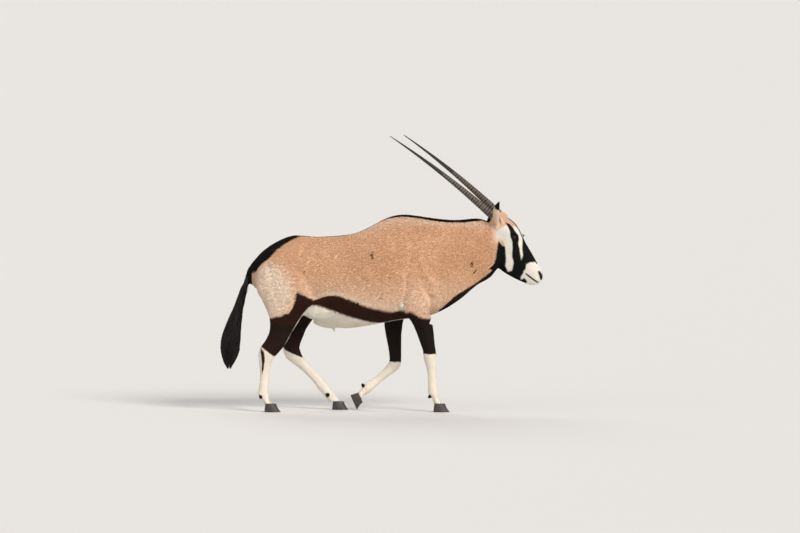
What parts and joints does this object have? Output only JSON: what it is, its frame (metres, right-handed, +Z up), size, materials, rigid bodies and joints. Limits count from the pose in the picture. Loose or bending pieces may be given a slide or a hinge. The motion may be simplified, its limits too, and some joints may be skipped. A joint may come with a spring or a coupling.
{
  "type": "gemsbok",
  "caption": "Life-size still model of a walking gemsbok bull with long straight ringed horns, black and white face, flank band and black horse-like tail",
  "frame": {"origin": "on the floor under the middle of the animal's bounding box", "axes": "+X forward, where the animal walks; +Y its left side; +Z up"},
  "size_m": [2.014, 0.5264, 1.7208],
  "materials": {
    "fawn_coat": "matte",
    "head_coat": "matte",
    "ear_coat": "matte",
    "leg_coat": "matte",
    "black_hair": "matte",
    "horn": "satin",
    "hoof": "satin",
    "eye": "gloss"
  },
  "bodies": {
    "root": {"ear_left": "ear_coat", "ear_right": "ear_coat", "eye_left": "eye", "eye_right": "eye", "head": "head_coat", "hoof_front_left_inner": "hoof", "hoof_front_left_outer": "hoof", "hoof_front_right_inner": "hoof", "hoof_front_right_outer": "hoof", "hoof_hind_left_inner": "hoof", "hoof_hind_left_outer": "hoof", "hoof_hind_right_inner": "hoof", "hoof_hind_right_outer": "hoof", "horn_left": "horn", "horn_right": "horn", "leg_front_left": "leg_coat", "leg_front_right": "leg_coat", "leg_hind_left": "leg_coat", "leg_hind_right": "leg_coat", "neck": "fawn_coat", "tail": "black_hair", "tail_tuft": "black_hair", "torso": "fawn_coat"}
  },
  "joints": []
}
